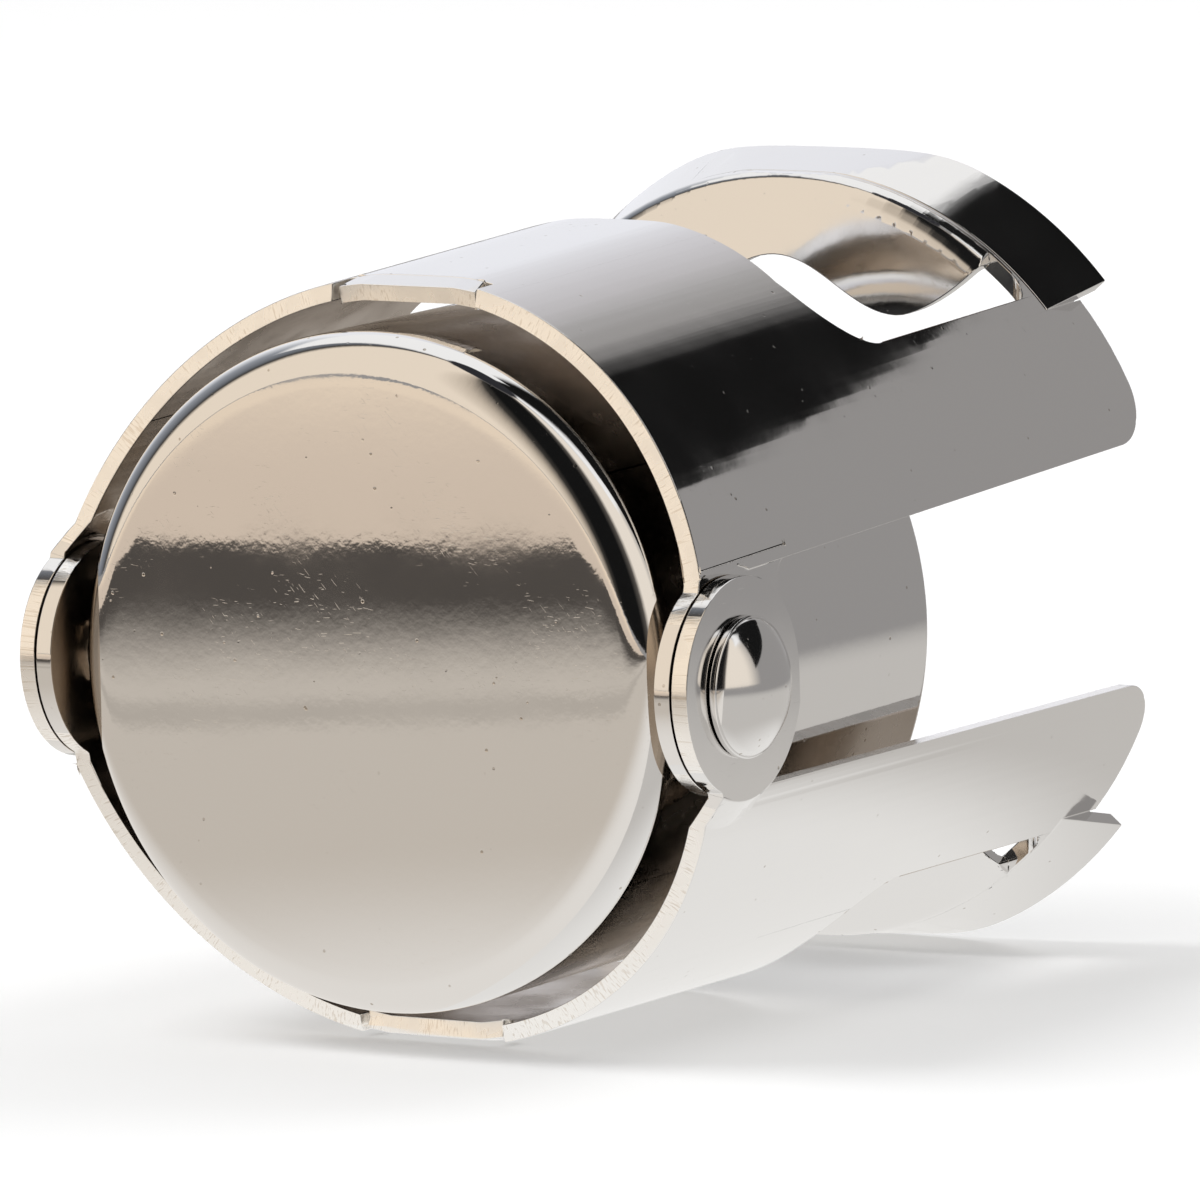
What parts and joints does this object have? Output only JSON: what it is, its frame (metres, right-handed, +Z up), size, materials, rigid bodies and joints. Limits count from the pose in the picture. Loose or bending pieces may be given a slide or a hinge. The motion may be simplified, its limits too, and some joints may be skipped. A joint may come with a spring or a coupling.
{
  "type": "bottle cap",
  "caption": "Hinged metal stopper cap for a sparkling-wine bottle: sheet wings swing on rivets and hook under the bottle's bead, over a sprung rubber seal.",
  "frame": {"origin": "centre of the footprint, on the surface it lies on", "axes": "+Y along the stopper, from the cap's face towards the hooks; +X towards the right rivet; +Z up"},
  "size_m": [0.0432, 0.0504, 0.042],
  "materials": {
    "polished_cap": "polished nickel plate, scratched and pitted",
    "polished_wing": "polished nickel plate, lightly worn",
    "rivet_steel": "bright domed rivet, softly worn",
    "spring_wire": "drawn spring wire",
    "pan_steel": "plain pressed sheet",
    "seal_rubber": "matt moulded rubber"
  },
  "bodies": {
    "cap": {"cap_cup": "polished_cap", "rivet_right": "rivet_steel", "rivet_left": "rivet_steel", "spring": "spring_wire"},
    "upper_wing": {"upper_wing": "polished_wing"},
    "lower_wing": {"lower_wing": "polished_wing"},
    "seal": {"seal_pan": "pan_steel", "rubber_seal": "seal_rubber"}
  },
  "joints": [
    {"name": "upper_hinge", "type": "hinge", "parent": "cap", "child": "upper_wing", "pos_m": [0, -0.01966, 0.01929], "axis": [1, 0, 0], "range_deg": [-4.5, 53]},
    {"name": "lower_hinge", "type": "hinge", "parent": "cap", "child": "lower_wing", "pos_m": [0, -0.01966, 0.01929], "axis": [-1, 0, 0], "range_deg": [-3.1, 54.4]},
    {"name": "seal_slide", "type": "slide", "parent": "cap", "child": "seal", "axis": [0, -0.9996, -0.0265], "range_m": [0, 0.003], "stiffness_N_per_m": 5000, "springref_m": -0.002, "deforming": ["spring"]}
  ]
}
